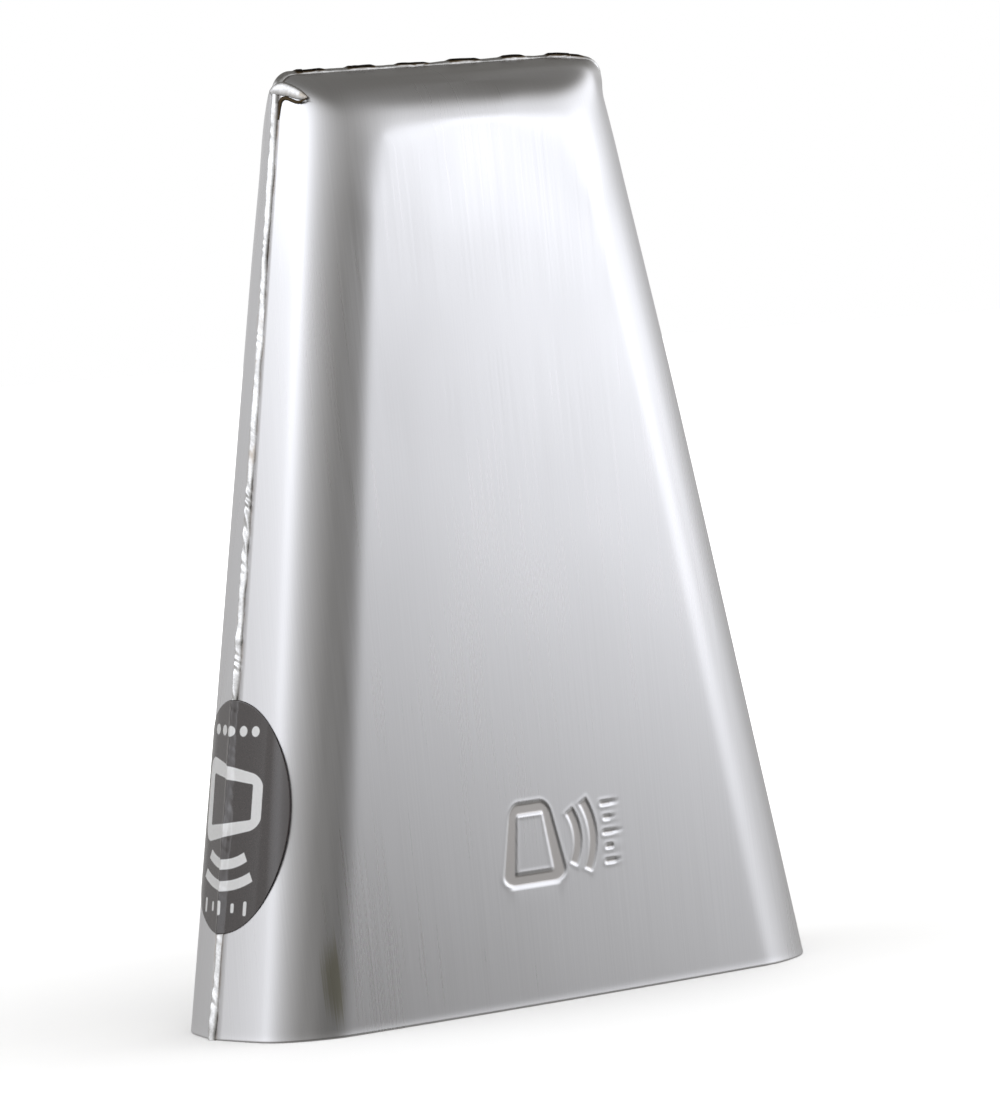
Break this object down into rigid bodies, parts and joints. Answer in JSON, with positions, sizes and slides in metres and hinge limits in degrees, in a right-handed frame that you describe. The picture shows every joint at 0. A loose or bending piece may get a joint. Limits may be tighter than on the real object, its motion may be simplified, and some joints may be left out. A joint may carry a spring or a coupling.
{
  "type": "cowbell",
  "caption": "Hand-held steel cowbell: stamped half shells welded along the sides and crown, mouth open, with an oval label over one side seam.",
  "frame": {"origin": "centre of the mouth, in the plane of the rim that the bell stands on", "axes": "+Z from the mouth to the crown, +Y from the striking face to the back face, +X to the right seen from the front"},
  "size_m": [0.152, 0.049, 0.2086],
  "materials": {
    "brushed_shell": "satin, fine brushing along the length of the bell",
    "weld_bead": "bright rippled weld metal with faint heat tint",
    "label_print": "dark grey printed film with a plain silver pictogram"
  },
  "bodies": {
    "root": {"front_shell": "brushed_shell", "back_shell": "brushed_shell", "right_side_weld": "weld_bead", "left_side_weld": "weld_bead", "crown_weld": "weld_bead", "right_corner_weld": "weld_bead", "left_corner_weld": "weld_bead", "side_label": "label_print"}
  },
  "joints": []
}
